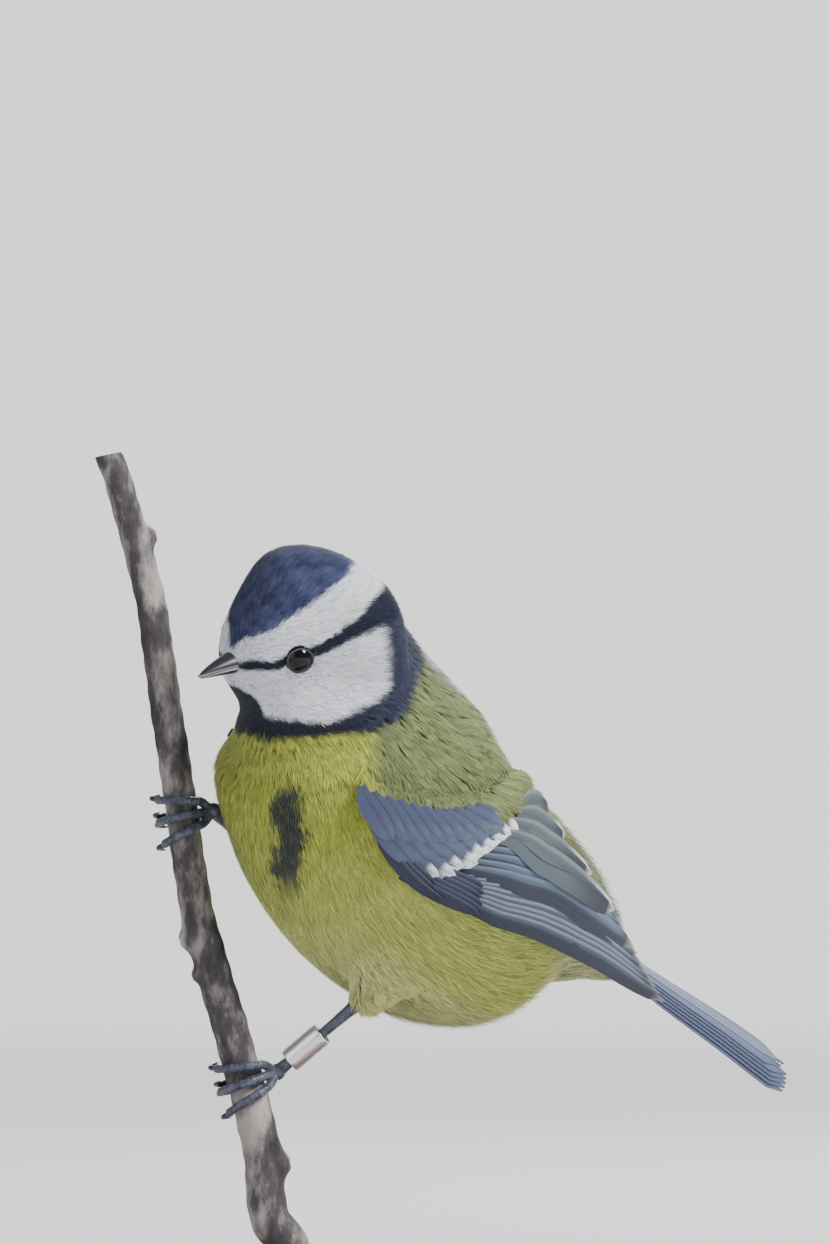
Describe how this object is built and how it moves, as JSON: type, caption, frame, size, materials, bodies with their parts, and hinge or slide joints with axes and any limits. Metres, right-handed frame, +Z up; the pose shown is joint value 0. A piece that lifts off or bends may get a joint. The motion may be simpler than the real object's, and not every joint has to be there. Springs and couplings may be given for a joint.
{
  "type": "bird_model",
  "caption": "Small blue, green and yellow songbird with a white face, clinging to a cut twig with a metal ring on its left leg, on a round display stand",
  "frame": {"origin": "middle of the underside of the stand's base", "axes": "+Z up; +X towards the side where the tail points; +Y away from the side that the picture shows"},
  "size_m": [0.0905, 0.0807, 0.1214],
  "materials": {
    "plumage_head": "soft plumage, blue cap over a white face",
    "plumage_body": "soft plumage, green back and yellow underside",
    "plumage_wing": "smooth vanes, grey-blue with a white bar",
    "plumage_tail": "smooth vanes, blue-grey with white outer edges",
    "eye": "wet gloss, near black",
    "bill": "satin horn, dark with pale cutting edges",
    "claw": "satin horn, dark",
    "leg_skin": "scaled skin, blue-grey",
    "ring_metal": "plain brushed metal, lightly scuffed",
    "bark": "smooth grey-brown bark with pale patches",
    "stand_wood": "dark stained wood, satin",
    "stand_metal": "brushed brass"
  },
  "bodies": {
    "root": {"head": "plumage_head", "eye_left": "eye", "eye_right": "eye", "bill_upper": "bill", "bill_lower": "bill", "neck": "plumage_body", "torso": "plumage_body", "wing_left": "plumage_wing", "wing_right": "plumage_wing", "tail": "plumage_tail", "tarsus_left": "leg_skin", "tarsus_right": "leg_skin", "foot_left": "leg_skin", "foot_right": "leg_skin", "ring_left": "ring_metal", "perch": "bark", "stand_base": "stand_wood", "stand_rod": "stand_metal"}
  },
  "joints": []
}
